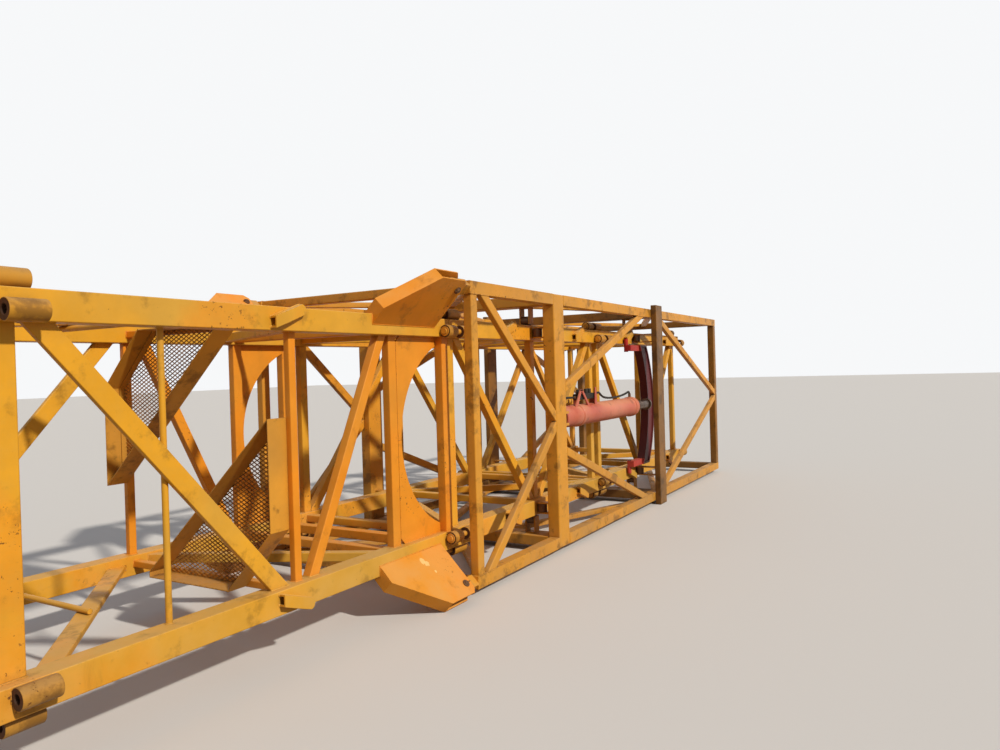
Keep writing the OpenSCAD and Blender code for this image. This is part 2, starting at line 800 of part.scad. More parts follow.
// Straight run along X at height zr, a bend, then down to the port at x1
module hose_run(x0, x1, zr, zp, s) {
    bend = 60;
    straight = abs(x1 - x0) - bend;
    translate([x0, cyl_y, zr]) rotate([0, s * 90, 0]) cylinder(d = hose_d, h = straight, $fn = 24);
    translate([x1 - s * bend, cyl_y, zr - bend]) rotate([90, 0, 0])
        rotate([0, s > 0 ? 0 : 180, 0]) rotate_extrude(angle = 90, $fn = 48)
            translate([bend, 0]) circle(d = hose_d, $fn = 24);
    translate([x1, cyl_y, zp]) cylinder(d = hose_d, h = zr - bend - zp, $fn = 24);
}

module piston_rod() {
    inner = 700;
    flange_t = 40;
    color("#8d8478") place() {
        along_cylinder(barrel_x1 - inner) cylinder(d = rod_d, h = inner + rod_out - flange_t + 1,
            $fn = 72);
        along_cylinder(barrel_x1 - inner) cylinder(d = barrel_d - 40 - 2 * pin_clear, h = 90,
            $fn = 72);
        along_cylinder(beam_in_x - flange_t) cylinder(d = flange_d, h = flange_t, $fn = 72);
    }
}

// Crossbeam: an arch with an arm at each end, whose pin pushes on a climbing lug
module crossbeam() {
    x_mid = beam_in_x;
    x_end = beam_in_x - beam_rise;
    r = (beam_half * beam_half + beam_rise * beam_rise) / (2 * beam_rise);
    color(maroon) place() {
        translate([0, beam_y0 + beam_t, 0]) rotate([90, 0, 0]) linear_extrude(beam_t)
            intersection() {
                difference() {
                    translate([x_mid + beam_w - r, 0]) circle(r = r, $fn = 180);
                    translate([x_mid - r, 0]) circle(r = r, $fn = 180);
                    translate([x_mid - 20, -flange_d / 2 - 3]) square([20, flange_d + 6]);
                }
                translate([x_end, -beam_half]) square([beam_rise + beam_w + 10, 2 * beam_half]);
            }
        for (s = [-1, 1]) {
            translate([beam_pin_x, beam_pin_y, s * beam_half - beam_pin_len / 2])
                cylinder(d = beam_pin_d, h = beam_pin_len, $fn = 48);
            translate([beam_pin_x - 25, beam_y0 + 20, s * (beam_half - beam_arm_w / 2) - beam_arm_w / 2])
                cube([x_end - beam_pin_x + 110, beam_t - 24, beam_arm_w]);
        }
    }
}

head_chords();
head_end_frame();
head_mid_frame();
head_flare_frame();
head_side_braces();
head_plan_braces();
head_stay_tubes();
arched_gussets();
corner_ears();
head_bolt_sleeves();
head_climbing_lugs();
rest_platform_frame();
rest_platform_mesh();
toe_boards();
mast_1_chords();
mast_1_posts();
mast_1_braces();
mast_1_bolt_sleeves();
mast_1_climbing_lugs();
mast_2_chords();
mast_2_posts();
mast_2_braces();
mast_2_bolt_sleeves();
mast_2_climbing_lugs();
joint_bolts();
cage_chords();
cage_head_frame();
cage_deep_posts();
cage_deep_rails();
cage_splice_posts();
cage_splice_rails();
cage_tail_frame();
cage_side_braces();
cage_plan_braces();
cage_corner_lugs();
ear_pins();
guide_brackets();
guide_rollers();
cylinder_bracket();
cylinder_pin();
cylinder_barrel();
valve_block();
hydraulic_hoses();
piston_rod();
crossbeam();
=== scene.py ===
import json
import math
import bmesh
import bpy
from mathutils import Matrix, Vector

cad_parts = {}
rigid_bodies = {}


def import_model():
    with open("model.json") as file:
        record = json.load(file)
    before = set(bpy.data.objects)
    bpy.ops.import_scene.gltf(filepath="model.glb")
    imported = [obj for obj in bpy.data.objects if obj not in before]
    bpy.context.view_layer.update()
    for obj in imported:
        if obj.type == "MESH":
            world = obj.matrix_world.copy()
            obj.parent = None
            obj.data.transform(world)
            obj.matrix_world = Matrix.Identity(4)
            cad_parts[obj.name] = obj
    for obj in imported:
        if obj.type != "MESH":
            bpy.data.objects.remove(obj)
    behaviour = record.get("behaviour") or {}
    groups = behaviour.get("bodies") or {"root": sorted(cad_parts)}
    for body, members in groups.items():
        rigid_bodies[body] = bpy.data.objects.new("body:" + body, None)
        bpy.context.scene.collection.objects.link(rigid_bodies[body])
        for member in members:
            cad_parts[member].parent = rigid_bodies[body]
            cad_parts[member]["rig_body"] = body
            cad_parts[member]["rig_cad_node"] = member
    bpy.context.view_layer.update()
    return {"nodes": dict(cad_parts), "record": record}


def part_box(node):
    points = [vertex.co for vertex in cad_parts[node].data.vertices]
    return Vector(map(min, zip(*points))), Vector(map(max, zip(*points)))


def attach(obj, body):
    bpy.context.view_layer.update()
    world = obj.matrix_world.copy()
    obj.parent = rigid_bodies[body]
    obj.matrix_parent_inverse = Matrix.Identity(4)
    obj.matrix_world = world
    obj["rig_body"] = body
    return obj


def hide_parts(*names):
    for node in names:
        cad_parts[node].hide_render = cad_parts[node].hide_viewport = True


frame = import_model()
nodes = frame["nodes"]
bodyOf = {}
for bodyName, names in frame["record"]["behaviour"]["bodies"].items():
    for nodeName in names:
        bodyOf[nodeName] = bodyName
slotOf = {s["node"]: s["material_slot"] for s in frame["record"]["subparts"]}

scene = bpy.context.scene
scene.view_settings.view_transform = "Standard"

chordLow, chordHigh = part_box("head_chords")
headEnd = chordLow[0]  # the head's free end
axisHeight = (chordLow[2] + chordHigh[2]) / 2  # the tower axis


def at(x, y, z):
    # x from the head's free end, y and z from the tower axis
    return Vector((headEnd + x, y, axisHeight + z))


# camera, floor and light

shot = {"place": (-6.758, -4.229, 1.7208), "yaw": 0.53, "pitch": -0.008, "roll": -0.029, "lens": 27.04}


def addCamera():
    yaw, pitch, roll = shot["yaw"], shot["pitch"], shot["roll"]
    forward = Vector((math.cos(yaw) * math.cos(pitch), math.sin(yaw) * math.cos(pitch), math.sin(pitch)))
    right = Vector((math.sin(yaw), -math.cos(yaw), 0.0))
    up = right.cross(forward)
    right2 = right * math.cos(roll) + up * math.sin(roll)
    up2 = up * math.cos(roll) - right * math.sin(roll)
    bpy.ops.object.camera_add()
    camera = bpy.context.object
    turn = Matrix((right2, up2, -forward)).transposed()
    camera.matrix_world = Matrix.Translation(Vector(shot["place"])) @ turn.to_4x4()
    camera.data.sensor_width = 36.0
    camera.data.lens = shot["lens"]
    camera.data.clip_end = 200.0
    scene.camera = camera


addCamera()
print("camera ready")

studio = {
    "floor": (0.72, 0.69, 0.65), "floorBounce": (0.24, 0.20, 0.16), "floorSize": 160.0,
    "world": (0.86, 0.90, 1.0), "worldStrength": 0.30, "behind": (0.93, 0.94, 0.95),
    "sunLamp": {"energy": 3.05, "angle": 2.5, "turn": (54, 0, -11), "color": (1.0, 0.95, 0.87)},
    "fillLamp": {"energy": 0.16, "angle": 60.0, "turn": (50, 0, 150), "color": (0.9, 0.94, 1.0)},
}


def shownTo(tree):
    # 1 for rays from the camera, from gloss and through glass, 0 for the light that the surroundings throw
    path = tree.nodes.new("ShaderNodeLightPath")
    factor = path.outputs["Is Camera Ray"]
    for label in ("Is Glossy Ray", "Is Transmission Ray"):
        larger = tree.nodes.new("ShaderNodeMath")
        larger.operation = "MAXIMUM"
        tree.links.new(factor, larger.inputs[0])
        tree.links.new(path.outputs[label], larger.inputs[1])
        factor = larger.outputs[0]
    return factor


def addStudio():
    bpy.ops.mesh.primitive_plane_add(size=studio["floorSize"], location=(0, 0, -0.001))
    floor = bpy.context.object
    floor.name = "studioFloor"
    paint = bpy.data.materials.new("studioFloor")
    paint.use_nodes = True
    tree = paint.node_tree
    shader = tree.nodes["Principled BSDF"]
    shader.inputs["Roughness"].default_value = 0.9
    shader.inputs["Specular IOR Level"].default_value = 0.2
    pale = tree.nodes.new("ShaderNodeMix")  # pale to the camera, and little light thrown back under the steel
    pale.data_type = "RGBA"
    pale.inputs[6].default_value = (*studio["floorBounce"], 1)
    pale.inputs[7].default_value = (*studio["floor"], 1)
    tree.links.new(shownTo(tree), pale.inputs[0])
    tree.links.new(pale.outputs[2], shader.inputs["Base Color"])
    floor.data.materials.append(paint)
    world = bpy.data.worlds.new("studioSky")
    scene.world = world
    world.use_nodes = True
    tree = world.node_tree
    soft = tree.nodes["Background"]
    soft.inputs[0].default_value = (*studio["world"], 1)
    soft.inputs[1].default_value = studio["worldStrength"]
    seen = tree.nodes.new("ShaderNodeBackground")
    seen.inputs[0].default_value = (*studio["behind"], 1)
    mix = tree.nodes.new("ShaderNodeMixShader")
    tree.links.new(shownTo(tree), mix.inputs[0])
    tree.links.new(soft.outputs[0], mix.inputs[1])
    tree.links.new(seen.outputs[0], mix.inputs[2])
    tree.links.new(mix.outputs[0], tree.nodes["World Output"].inputs[0])
    for name in ("sunLamp", "fillLamp"):
        lamp = studio[name]
        bpy.ops.object.light_add(type="SUN", rotation=[math.radians(a) for a in lamp["turn"]])
        light = bpy.context.object
        light.name = name
        light.data.energy = lamp["energy"]
        light.data.angle = math.radians(lamp["angle"])
        light.data.color = lamp["color"]


addStudio()
print("studio ready")


# paint, steel and rubber

def tone(red, green, blue):
    # a colour read as on screen, 0 to 255, to the linear colour that a shader takes
    parts = [c / 255 / 12.92 if c < 11 else ((c / 255 + 0.055) / 1.055) ** 2.4 for c in (red, green, blue)]
    return (*parts, 1.0)


def put(tree, kind, inputs=None, **settings):
    node = tree.nodes.new("ShaderNode" + kind)
    for key, value in settings.items():
        setattr(node, key, value)
    for key, value in (inputs or {}).items():
        if isinstance(value, bpy.types.NodeSocket):
            tree.links.new(value, node.inputs[key])
        else:
            node.inputs[key].default_value = value
    return node


def noise(tree, place, scale, detail, rough=0.55):
    return put(tree, "TexNoise", {"Vector": place, "Scale": scale, "Detail": detail, "Roughness": rough}).outputs[0]


def mask(tree, value, low, high, most=1.0):
    node = put(tree, "MapRange", {0: value, 1: low, 2: high, 3: 0.0, 4: most}, interpolation_type="SMOOTHSTEP")
    return node.outputs[0]


def sums(tree, kind, a, b):
    return put(tree, "Math", {0: a, 1: b}, operation=kind).outputs[0]


def blend(tree, factor, a, b):
    return put(tree, "Mix", {0: factor, 6: a, 7: b}, data_type="RGBA").outputs[2]


def newGroup(name, ins, outs):
    group = bpy.data.node_groups.new(name, "ShaderNodeTree")
    for label, value in ins.items():
        kind = "NodeSocketFloat" if isinstance(value, float) else "NodeSocketColor"
        group.interface.new_socket(label, in_out="INPUT", socket_type=kind).default_value = value
    for label, kind in outs.items():
        group.interface.new_socket(label, in_out="OUTPUT", socket_type=kind)
    taken = group.nodes.new("NodeGroupInput").outputs
    given = group.nodes.new("NodeGroupOutput").inputs
    return group, taken, given


surfaceOutputs = {"Color": "NodeSocketColor", "Roughness": "NodeSocketFloat", "Height": "NodeSocketFloat"}


def buildPaintedSteel():
    # yard paint: faded patches, dust that lies on top, darkening in corners that is partly grime and partly painted
    # shade, streaks, chips and rust
    group, taken, given = newGroup("paintedSteel", {
        "Paint": tone(226, 156, 47), "Faded": tone(214, 160, 80), "Fresh": tone(240, 146, 40),
        "Dust": tone(190, 160, 112), "Dirt And Shade": tone(62, 42, 20), "Fresh Amount": 0.3, "Dust Amount": 0.5,
        "Dirt And Shade Amount": 0.5, "Stain Amount": 0.0, "Chip Amount": 0.5, "Gloss": 0.42}, surfaceOutputs)
    place = put(group, "TexCoord").outputs["Object"]
    normal = put(group, "NewGeometry").outputs["Normal"]
    split = put(group, "SeparateXYZ", {0: normal}).outputs
    height = put(group, "SeparateXYZ", {0: place}).outputs[2]
    broad = noise(group, place, 0.75, 3.0)
    middling = noise(group, place, 3.4, 5.0, 0.6)
    fine = noise(group, place, 21.0, 6.0, 0.65)
    other = put(group, "Mapping", {0: place, 1: (7.3, 2.1, 4.4)}).outputs[0]
    patches = noise(group, other, 1.15, 4.0, 0.5)

    color = blend(group, mask(group, broad, 0.38, 0.62, 0.85), taken["Paint"], taken["Faded"])
    freshHere = sums(group, "MULTIPLY", mask(group, patches, 0.5, 0.62), taken["Fresh Amount"])
    color = blend(group, freshHere, color, taken["Fresh"])
    shade = put(group, "MapRange", {0: middling, 1: 0.3, 2: 0.7, 3: 0.88, 4: 1.08}).outputs[0]
    color = put(group, "HueSaturation", {"Value": shade, "Color": color}).outputs[0]
    color = blend(group, mask(group, fine, 0.35, 0.75, 0.22), color, taken["Faded"])

    up = mask(group, split[2], 0.2, 0.85)
    dusty = sums(group, "MULTIPLY", up, mask(group, middling, 0.32, 0.6))
    low = mask(group, sums(group, "SUBTRACT", 1.3, height), 0.55, 1.3, 0.8)
    splashed = sums(group, "MULTIPLY", low, mask(group, middling, 0.38, 0.66))
    dusty = sums(group, "MAXIMUM", dusty, splashed)
    dusty = sums(group, "MULTIPLY", dusty, taken["Dust Amount"])
    color = blend(group, dusty, color, taken["Dust"])

    # painted shade: ambient occlusion darkens corners and hollows, broken up by noise into patchy grime
    closed = put(group, "AmbientOcclusion", {"Distance": 0.09}, samples=5).outputs["AO"]
    corner = mask(group, sums(group, "SUBTRACT", 1.0, closed), 0.28, 0.8)
    corner = sums(group, "MULTIPLY", corner, mask(group, middling, 0.25, 0.55))
    bent = put(group, "VectorMath", {0: put(group, "TexNoise", {"Vector": place, "Scale": 2.6}).outputs[1],
                                     1: (0.16, 0.16, 0.0)}, operation="MULTIPLY").outputs[0]
    bent = put(group, "VectorMath", {0: place, 1: bent}, operation="ADD").outputs[0]
    run = put(group, "Mapping", {0: bent, 3: (8.0, 8.0, 1.1)}).outputs[0]
    upright = sums(group, "SUBTRACT", 1.0, mask(group, sums(group, "ABSOLUTE", split[2], 0.0), 0.2, 0.6))
    streaks = sums(group, "MULTIPLY", mask(group, noise(group, run, 1.0, 6.0, 0.68), 0.58, 0.78, 0.4), upright)
    streaks = sums(group, "MULTIPLY", streaks, mask(group, patches, 0.42, 0.6))
    spread = sums(group, "ADD", noise(group, other, 4.2, 6.0, 0.68), taken["Stain Amount"])
    stains = mask(group, spread, 0.60, 0.74, 0.66)
    # grime streaks, stains and the painted corner shade, all blended to one dark colour
    grimeAndShade = sums(group, "MAXIMUM", sums(group, "MAXIMUM", corner, streaks), stains)
    grimeAndShade = sums(group, "MULTIPLY", grimeAndShade, taken["Dirt And Shade Amount"])
    color = blend(group, grimeAndShade, color, taken["Dirt And Shade"])

    softened = put(group, "Bevel", {"Radius": 0.006}, samples=3).outputs[0]
    along = put(group, "VectorMath", {0: softened, 1: normal}, operation="DOT_PRODUCT").outputs["Value"]
    edge = mask(group, sums(group, "SUBTRACT", 1.0, along), 0.015, 0.10)
    scuffed = noise(group, place, 34.0, 5.0, 0.7)
    edge = sums(group, "MULTIPLY", edge, mask(group, scuffed, 0.50, 0.57))
    edge = sums(group, "MULTIPLY", edge, mask(group, patches, 0.35, 0.5))
    specks = mask(group, noise(group, other, 27.0, 6.0, 0.68), 0.70, 0.72)
    specks = sums(group, "MULTIPLY", specks, mask(group, middling, 0.40, 0.55))
    flakes = sums(group, "MULTIPLY", mask(group, scuffed, 0.62, 0.65), mask(group, patches, 0.56, 0.62))
    chips = sums(group, "MAXIMUM", sums(group, "MAXIMUM", edge, specks), flakes)
    chips = sums(group, "MULTIPLY", chips, taken["Chip Amount"])
    rust = blend(group, mask(group, fine, 0.4, 0.65), tone(58, 34, 20), tone(122, 70, 34))
    color = blend(group, chips, color, rust)

    matt = sums(group, "ADD", taken["Gloss"], sums(group, "MULTIPLY", dusty, 0.4))
    matt = sums(group, "ADD", matt, sums(group, "MULTIPLY", chips, 0.35))
    matt = sums(group, "ADD", matt, mask(group, fine, 0.3, 0.7, 0.10))
    rise = sums(group, "SUBTRACT", sums(group, "MULTIPLY", fine, 0.22), sums(group, "MULTIPLY", chips, 0.8))
    rise = sums(group, "ADD", rise, sums(group, "MULTIPLY", dusty, sums(group, "MULTIPLY", scuffed, 0.5)))
    for label, value in {"Color": color, "Roughness": matt, "Height": rise}.items():
        group.links.new(value, given[label])
    return group


def buildWornSteel():
    # bare steel: brown rust over a darker core, with dark patches of grease and painted shade in its hollows
    group, taken, given = newGroup("wornSteel", {
        "Steel": tone(92, 78, 62), "Rust": tone(118, 72, 38), "Dark": tone(38, 28, 20), "Rust Amount": 0.6,
        "Dark Amount": 0.4, "Scale": 1.0, "Gloss": 0.45}, surfaceOutputs)
    place = put(group, "TexCoord").outputs["Object"]
    place = put(group, "VectorMath", {0: place, "Scale": taken["Scale"]}, operation="SCALE").outputs[0]
    coarse = noise(group, place, 5.0, 5.0, 0.6)
    pitted = noise(group, place, 42.0, 6.0, 0.7)
    rusty = sums(group, "MULTIPLY", mask(group, coarse, 0.35, 0.62), mask(group, pitted, 0.3, 0.6))
    rusty = sums(group, "MULTIPLY", rusty, taken["Rust Amount"])
    color = blend(group, rusty, taken["Steel"], taken["Rust"])
    # painted shade: ambient occlusion darkens the hollows, together with dark noise patches of grease
    closed = put(group, "AmbientOcclusion", {"Distance": 0.05}, samples=4).outputs["AO"]
    dark = sums(group, "MAXIMUM", mask(group, noise(group, place, 11.0, 5.0, 0.65), 0.52, 0.7),
                mask(group, sums(group, "SUBTRACT", 1.0, closed), 0.25, 0.8))
    dark = sums(group, "MULTIPLY", dark, taken["Dark Amount"])
    color = blend(group, dark, color, taken["Dark"])
    matt = sums(group, "ADD", taken["Gloss"], sums(group, "MULTIPLY", rusty, 0.4))
    for label, value in {"Color": color, "Roughness": matt, "Height": pitted}.items():
        group.links.new(value, given[label])
    return group


paintedSteel = buildPaintedSteel()
wornSteel = buildWornSteel()

finishes = {
    "yellow_paint": (paintedSteel, {
        "Paint": tone(232, 165, 38), "Faded": tone(210, 160, 64), "Fresh": tone(240, 150, 32),
        "Dust": tone(196, 162, 106), "Dirt And Shade": tone(104, 72, 30), "Fresh Amount": 0.55, "Dust Amount": 0.5,
        "Dirt And Shade Amount": 0.6, "Stain Amount": 0.055, "Chip Amount": 0.9}),
    "fresh_paint": (paintedSteel, {
        "Paint": tone(238, 142, 24), "Faded": tone(228, 150, 46), "Fresh": tone(234, 156, 40),
        "Dust": tone(200, 154, 92), "Dirt And Shade": tone(124, 76, 28), "Fresh Amount": 0.35, "Dust Amount": 0.5,
        "Dirt And Shade Amount": 0.6, "Stain Amount": 0.05, "Chip Amount": 0.75}),
    "cage_paint": (paintedSteel, {
        "Paint": tone(224, 154, 46), "Faded": tone(200, 142, 58), "Fresh": tone(230, 150, 40),
        "Dust": tone(166, 134, 92), "Dirt And Shade": tone(82, 52, 22), "Fresh Amount": 0.30, "Dust Amount": 0.6,
        "Dirt And Shade Amount": 0.85, "Stain Amount": 0.085, "Chip Amount": 0.95}),
    "red_paint": (paintedSteel, {
        "Paint": tone(196, 88, 66), "Faded": tone(216, 134, 102), "Fresh": tone(178, 64, 52),
        "Dust": tone(206, 154, 116), "Fresh Amount": 0.6, "Dust Amount": 0.5,
        "Dirt And Shade Amount": 0.6, "Stain Amount": 0.03, "Chip Amount": 0.8, "Gloss": 0.34}),
    "maroon_paint": (paintedSteel, {
        "Paint": tone(88, 20, 26), "Faded": tone(98, 34, 34), "Fresh": tone(64, 14, 20),
        "Dust": tone(120, 80, 62), "Fresh Amount": 0.6, "Dust Amount": 0.25,
        "Dirt And Shade Amount": 0.6, "Chip Amount": 0.5, "Gloss": 0.4}),
    "bare_steel": (wornSteel, {"Steel": tone(104, 84, 62), "Rust": tone(120, 72, 40), "Rust Amount": 0.8}),
    "mesh_steel": (wornSteel, {
        "Steel": tone(196, 138, 62), "Rust": tone(112, 66, 36), "Dark": tone(70, 44, 26),
        "Rust Amount": 0.9, "Dark Amount": 0.7, "Gloss": 0.55}),
    # the piston rod: dull dark steel, its darkness partly grime and partly painted shadow of the crossbeam
    "rod_steel": (wornSteel, {
        "Steel": tone(128, 108, 92), "Rust": tone(96, 54, 40), "Rust Amount": 0.5, "Dark Amount": 0.6, "Gloss": 0.3}),
    "black_rubber": (wornSteel, {
        "Steel": tone(34, 33, 32), "Rust": tone(78, 66, 52), "Dark": tone(16, 16, 16),
        "Rust Amount": 0.5, "Dark Amount": 0.4, "Gloss": 0.6}),
    "red_hook": (paintedSteel, {
        "Paint": tone(176, 40, 38), "Faded": tone(188, 70, 58), "Fresh": tone(150, 30, 32),
        "Dust": tone(160, 110, 84), "Dust Amount": 0.3, "Dirt And Shade Amount": 0.5, "Chip Amount": 0.7}),
    # the tail's splice posts, rails and frame: a darker, grimier coat whose dark tone is partly grime and partly
    # painted shadow
    "tail_grime_and_shadow": (paintedSteel, {
        "Paint": tone(154, 102, 34), "Faded": tone(124, 86, 40), "Fresh": tone(184, 122, 40),
        "Dust": tone(130, 102, 66), "Dust Amount": 0.7, "Dirt And Shade Amount": 0.9, "Stain Amount": 0.10,
        "Chip Amount": 0.95}),
    "sleeve_paint": (paintedSteel, {
        "Paint": tone(206, 144, 42), "Faded": tone(176, 130, 56), "Fresh": tone(190, 126, 44),
        "Dust": tone(160, 126, 80), "Dirt And Shade": tone(88, 56, 28), "Dust Amount": 0.6, "Dirt And Shade Amount": 0.85,
        "Stain Amount": 0.10, "Chip Amount": 0.95}),
    "dusty_paint": (paintedSteel, {
        "Paint": tone(172, 124, 62), "Faded": tone(158, 122, 78), "Fresh": tone(186, 132, 60),
        "Dust": tone(160, 134, 100), "Dust Amount": 0.8, "Dirt And Shade Amount": 0.8, "Stain Amount": 0.05,
        "Chip Amount": 0.9}),
    "bore_rust": (wornSteel, {
        "Steel": tone(74, 48, 30), "Rust": tone(104, 58, 30), "Dark": tone(30, 20, 14),
        "Rust Amount": 0.9, "Gloss": 0.7}),
}
finishes["ear_paint"] = finishes["fresh_paint"]
metalness = {"bare_steel": 0.35, "rod_steel": 0.85}
bumpDepth = {"black_rubber": 0.001, "rod_steel": 0.0006}
surface = {"bumpStrength": 0.55, "bumpDepth": 0.0022, "specular": 0.26}


def makeFinish(name, group, values):
    material = bpy.data.materials.new(name)
    material.use_nodes = True
    tree = material.node_tree
    shader = tree.nodes["Principled BSDF"]
    worn = tree.nodes.new("ShaderNodeGroup")
    worn.node_tree = group
    for label, value in values.items():
        worn.inputs[label].default_value = value
    bump = put(tree, "Bump", {"Strength": surface["bumpStrength"], "Height": worn.outputs["Height"],
                              "Distance": bumpDepth.get(name, surface["bumpDepth"])})
    tree.links.new(worn.outputs["Color"], shader.inputs["Base Color"])
    tree.links.new(worn.outputs["Roughness"], shader.inputs["Roughness"])
    tree.links.new(bump.outputs[0], shader.inputs["Normal"])
    shader.inputs["Metallic"].default_value = metalness.get(name, 0.0)
    shader.inputs["Specular IOR Level"].default_value = surface["specular"]
    return material


finish = {name: makeFinish(name, group, values) for name, (group, values) in finishes.items()}

# spots on the near lower ear, with their radius
rubbed = {"primer": tone(238, 200, 128),
          "spots": [((2.845, -0.955, -0.881), 0.024), ((2.870, -0.978, -0.904), 0.022),
                    ((2.900, -1.036, -0.962), 0.012)]}


def rubPatches(material):
    # a few places where the paint has come off down to the primer
    tree = material.node_tree
    coat = tree.nodes["Principled BSDF"].inputs["Base Color"]
    color = coat.links[0].from_socket
    place = put(tree, "TexCoord").outputs["Object"]
    ragged = noise(tree, place, 26.0, 5.0)
    for spot, radius in rubbed["spots"]:
        away = put(tree, "VectorMath", {0: place, 1: at(*spot)}, operation="DISTANCE").outputs["Value"]
        away = sums(tree, "ADD", away, sums(tree, "MULTIPLY", ragged, radius * 2.4))
        here = mask(tree, sums(tree, "SUBTRACT", radius * 2.2, away), 0.0, radius * 0.15, 0.8)
        color = blend(tree, here, color, rubbed["primer"])
    tree.links.new(color, coat)


rubPatches(finish["ear_paint"])
for nodeName, obj in nodes.items():
    for slot in obj.material_slots:
        slot.material = finish[slotOf[nodeName]]
print("finishes ready")


# working with pieces

def pick(*objs):
    if bpy.context.mode != "OBJECT":
        bpy.ops.object.mode_set(mode="OBJECT")
    bpy.ops.object.select_all(action="DESELECT")
    for obj in objs:
        obj.select_set(True)
    bpy.context.view_layer.objects.active = objs[0]


def copyNode(nodeName, pieceName):
    # a loose copy of a CAD node, its doubles merged and flat triangles joined
    pick(nodes[nodeName])
    bpy.ops.object.duplicate()
    piece = bpy.context.object
    piece.name = pieceName
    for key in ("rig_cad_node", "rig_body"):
        if key in piece:
            del piece[key]
    bpy.ops.object.parent_clear(type="CLEAR_KEEP_TRANSFORM")
    bpy.ops.object.mode_set(mode="EDIT")
    bpy.ops.mesh.select_all(action="SELECT")
    bpy.ops.mesh.remove_doubles(threshold=0.00002)
    bpy.ops.mesh.dissolve_limited(angle_limit=math.radians(0.6))
    bpy.ops.object.mode_set(mode="OBJECT")
    return piece


def settle(piece, body, slotName, material=None):
    # the piece's place goes into its mesh, it takes its slot's finish or another, and it rides on its body
    pick(piece)
    bpy.ops.object.transform_apply(location=True, rotation=True, scale=True)
    piece.data.materials.clear()
    piece.data.materials.append(finish[material or slotName])
    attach(piece, body)


# in degrees: the least angle that is rounded, and the greatest that is shaded smooth
edgeAngle = {"rounded": 40, "steel": 36, "turned": 32, "bead": 70}


def roundEdges(piece, width, segments):
    pick(piece)
    bevel = piece.modifiers.new("roundedEdge", "BEVEL")
    bevel.width = width
    bevel.segments = segments
    bevel.limit_method = "ANGLE"
    bevel.angle_limit = math.radians(edgeAngle["rounded"])
    bpy.ops.object.modifier_apply(modifier="roundedEdge")
    bpy.ops.object.shade_smooth_by_angle(angle=math.radians(edgeAngle["steel"]))
    steady = piece.modifiers.new("flatShading", "WEIGHTED_NORMAL")
    steady.keep_sharp = True
    bpy.ops.object.modifier_apply(modifier="flatShading")


def chooseFaces(piece, wanted):
    # in edit mode, selects the faces whose middle and normal the test takes
    mesh = bmesh.from_edit_mesh(piece.data)
    bpy.ops.mesh.select_all(action="DESELECT")
    bpy.ops.mesh.select_mode(type="FACE")
    found = 0
    for face in mesh.faces:
        if wanted(face.calc_center_median() - at(0, 0, 0), face.normal):
            face.select_set(True)
            found += 1
    bmesh.update_edit_mesh(piece.data)
    return found


# rolled and cut edges of the steel: the width in metres, and the segments

roundings = {
    "head_chords": (0.013, 3), "mast_1_chords": (0.013, 3), "mast_2_chords": (0.013, 3), "cage_chords": (0.010, 3),
    "head_end_frame": (0.009, 3), "head_mid_frame": (0.006, 2), "head_flare_frame": (0.007, 2),
    "mast_1_posts": (0.008, 2), "mast_2_posts": (0.008, 2), "cage_head_frame": (0.009, 3),
    "cage_deep_posts": (0.012, 3), "cage_deep_rails": (0.010, 3), "cage_splice_posts": (0.008, 3),
    "cage_splice_rails": (0.008, 2), "cage_tail_frame": (0.010, 3),
    "head_side_braces": (0.006, 2), "head_plan_braces": (0.006, 2), "mast_1_braces": (0.006, 2),
    "mast_2_braces": (0.006, 2), "cage_side_braces": (0.008, 2), "cage_plan_braces": (0.008, 2),
    "arched_gussets": (0.0022, 2), "corner_ears": (0.0025, 2), "head_bolt_sleeves": (0.003, 2),
    "mast_1_bolt_sleeves": (0.003, 2), "mast_2_bolt_sleeves": (0.003, 2), "head_climbing_lugs": (0.0025, 2),
    "mast_1_climbing_lugs": (0.0025, 2), "mast_2_climbing_lugs": (0.0025, 2), "rest_platform_frame": (0.002, 2),
    "toe_boards": (0.0018, 2), "joint_bolts": (0.003, 2), "cage_corner_lugs": (0.003, 2), "ear_pins": (0.003, 2),
    "guide_brackets": (0.002, 2), "guide_rollers": (0.005, 2), "cylinder_bracket": (0.004, 2),
    "cylinder_pin": (0.003, 2), "cylinder_barrel": (0.004, 2), "valve_block": (0.005, 2), "piston_rod": (0.003, 2),
    "crossbeam": (0.005, 2), "head_stay_tubes": (0.002, 1),
}
repainted = {"joint_bolts": "yellow_paint"}  # the long bolts were painted with the mast
# the tail's darker coat is partly grime and partly painted shadow
otherCoat = {"cage_splice_posts": "tail_grime_and_shadow", "cage_splice_rails": "tail_grime_and_shadow", "cage_tail_frame": "tail_grime_and_shadow",
             "corner_ears": "ear_paint", "joint_bolts": "cage_paint", "head_bolt_sleeves": "sleeve_paint",
             "mast_1_bolt_sleeves": "sleeve_paint", "mast_2_bolt_sleeves": "sleeve_paint"}


# where the joint bolts stand, off the tower axis, and the radii of a sleeve's bore and end
boltHole = {"centre": (0.945, 0.8), "bore": 0.0265, "ring": 0.045}
# the arch of the crossbeam and its hooks at the ends
beamShape = {"flange": 0.022, "sink": 0.014, "draft": 0.003, "archStart": 7.4, "archEnd": 7.8, "archHalf": 0.3,
             "hookEnd": 7.46, "hookHalf": 0.665}
freshStart, dustyTop = 1.85, -0.70  # newer braces towards the flare, and the toe board by the ground


def inBore(middle, normal):
    # the bore and the ring face at the sleeve's end
    y, z = abs(middle.y), abs(middle.z)
    far, near = boltHole["centre"]
    away = min(math.hypot(y - far, z - near), math.hypot(y - near, z - far))
    return away < (boltHole["bore"] if abs(normal.x) < 0.8 else boltHole["ring"])


def onHook(middle, normal):
    return abs(middle.z) > beamShape["hookHalf"] and middle.x < beamShape["hookEnd"]


